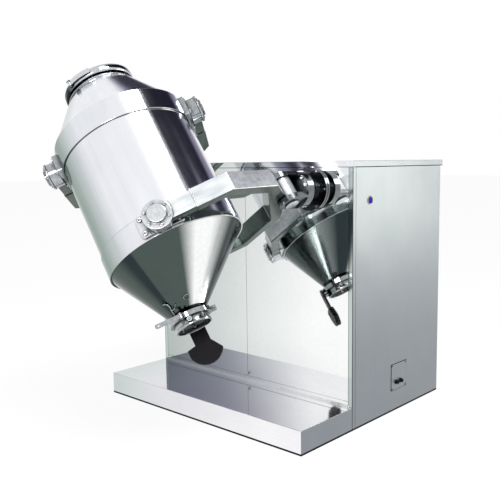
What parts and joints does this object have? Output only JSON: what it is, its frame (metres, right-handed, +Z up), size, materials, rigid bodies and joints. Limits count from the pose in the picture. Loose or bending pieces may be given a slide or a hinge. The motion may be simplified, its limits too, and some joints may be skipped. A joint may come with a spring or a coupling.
{
  "type": "multi-directional motion mixer",
  "caption": "Two-shaft tumbling powder mixer: a barrel with conical ends hangs between two driven forks in front of a cabinet, with a lidded mouth and a valve outlet.",
  "frame": {"origin": "on the floor, at the middle of the cabinet's front face", "axes": "+X to the right along the cabinet's front, +Y into the cabinet, +Z up"},
  "size_m": [1.4958, 1.9298, 1.9215],
  "materials": {
    "barrel_steel": "mirror polished stainless steel",
    "hoop_steel": "polished stainless steel",
    "fork_steel": "fine ground stainless steel",
    "turned_steel": "turned stainless steel",
    "front_polish": "mirror polished stainless sheet",
    "cabinet_satin": "satin stainless sheet",
    "frame_paint": "grey painted steel angle",
    "gearbox_paint": "blue-grey painted casting",
    "motor_paint": "blue painted casting",
    "strip_rubber": "black rubber",
    "gasket_silicone": "white silicone",
    "black_grip": "black moulded plastic",
    "gland_nylon": "black nylon",
    "plug_blue": "blue enamel"
  },
  "bodies": {
    "cabinet": {"base_strip": "strip_rubber", "cabinet_frame": "frame_paint", "right_panel": "cabinet_satin", "left_panel": "cabinet_satin", "corner_strip_right": "cabinet_satin", "corner_strip_left": "cabinet_satin", "rear_panel": "cabinet_satin", "front_panel_right": "front_polish", "front_panel_left": "front_polish", "front_rail": "front_polish", "top_cover": "cabinet_satin", "platform_tray": "cabinet_satin", "connection_plate": "cabinet_satin", "cable_gland_lower": "gland_nylon", "cable_gland_upper": "gland_nylon", "oval_plug": "plug_blue", "drive_seal": "turned_steel", "driven_seal": "turned_steel", "drive_cartridge": "turned_steel", "driven_cartridge": "turned_steel", "worm_gearbox": "gearbox_paint", "motor": "motor_paint"},
    "drive_shaft": {"drive_shaft": "turned_steel", "drive_clevis": "turned_steel", "drive_pin": "turned_steel"},
    "drive_fork": {"drive_fork": "fork_steel", "drive_housing_far": "turned_steel", "drive_housing_near": "turned_steel", "drive_cover_far": "turned_steel", "drive_cover_near": "turned_steel"},
    "barrel": {"barrel_cylinder": "barrel_steel", "barrel_top_cone": "barrel_steel", "barrel_bottom_cone": "barrel_steel", "lower_hoop": "hoop_steel", "upper_hoop": "hoop_steel", "trunnion_lower_far": "turned_steel", "trunnion_lower_near": "turned_steel", "trunnion_upper_left": "turned_steel", "trunnion_upper_right": "turned_steel", "mouth_flange": "hoop_steel", "outlet_neck": "hoop_steel", "valve_body": "hoop_steel", "outlet_clamp": "hoop_steel"},
    "driven_fork": {"driven_fork": "fork_steel", "driven_housing_left": "turned_steel", "driven_housing_right": "turned_steel", "driven_cover_left": "turned_steel", "driven_cover_right": "turned_steel", "driven_pin": "turned_steel"},
    "driven_shaft": {"driven_shaft": "turned_steel", "driven_clevis": "turned_steel"},
    "lid": {"lid": "hoop_steel", "lid_gasket": "gasket_silicone", "mouth_clamp": "hoop_steel"},
    "mouth_lever": {"clamp_lever": "hoop_steel"},
    "valve": {"valve_disc": "turned_steel", "valve_handle": "black_grip"},
    "outlet_lever": {"outlet_lever": "hoop_steel"},
    "lock": {"panel_lock": "turned_steel"}
  },
  "joints": [
    {"name": "drive_shaft_turn", "type": "hinge", "parent": "cabinet", "child": "drive_shaft", "pos_m": [0.47094, -0.212, 1.256], "axis": [0, 1, 0], "range_deg": [-8, 8]},
    {"name": "drive_fork_tilt", "type": "hinge", "parent": "drive_shaft", "child": "drive_fork", "pos_m": [0.47094, -0.212, 1.256], "axis": [0.5774, 0, -0.8165], "range_deg": [-5.8, 5.8]},
    {"name": "barrel_lower_pivot", "type": "hinge", "parent": "drive_fork", "child": "barrel", "pos_m": [0.11298, -0.65041, 1.00289], "axis": [-0.5774, 0.7071, -0.4082], "range_deg": [-11.4, 11.4]},
    {"name": "driven_fork_pivot", "type": "hinge", "parent": "barrel", "child": "driven_fork", "pos_m": [-0.24498, -0.65041, 1.50911], "axis": [-0.5774, -0.7071, -0.4082], "range_deg": [-11.4, 11.4]},
    {"name": "driven_shaft_turn", "type": "hinge", "parent": "cabinet", "child": "driven_shaft", "pos_m": [-0.60294, -0.212, 1.256], "axis": [0, 1, 0], "range_deg": [-8.1, 8.1]},
    {"name": "lid_lift", "type": "slide", "parent": "barrel", "child": "lid", "axis": [-0.5774, 0, 0.8165], "range_m": [0, 0.08]},
    {"name": "mouth_lever_turn", "type": "hinge", "parent": "lid", "child": "mouth_lever", "pos_m": [-0.42736, -0.8506, 1.80961], "axis": [0.5774, 0, -0.8165], "range_deg": [0, 100]},
    {"name": "valve_turn", "type": "hinge", "parent": "barrel", "child": "valve", "pos_m": [0.22239, -0.63061, 0.61301], "axis": [-0.5774, 0.7071, -0.4082], "range_deg": [0, 90]},
    {"name": "outlet_lever_turn", "type": "hinge", "parent": "barrel", "child": "outlet_lever", "pos_m": [0.25672, -0.73713, 0.67097], "axis": [-0.5774, 0, 0.8165], "range_deg": [0, 70]},
    {"name": "panel_lock_turn", "type": "hinge", "parent": "cabinet", "child": "lock", "pos_m": [0.013, 0, 0.172], "axis": [0, 1, 0], "range_deg": [0, 90]}
  ],
  "couplings": [
    {"joint": "drive_fork_tilt", "follows": "drive_shaft_turn", "ratio": 0.70711},
    {"joint": "barrel_lower_pivot", "follows": "drive_shaft_turn", "ratio": -1.4142},
    {"joint": "driven_fork_pivot", "follows": "drive_shaft_turn", "ratio": 1.4142},
    {"joint": "driven_shaft_turn", "follows": "drive_shaft_turn", "ratio": -1}
  ]
}
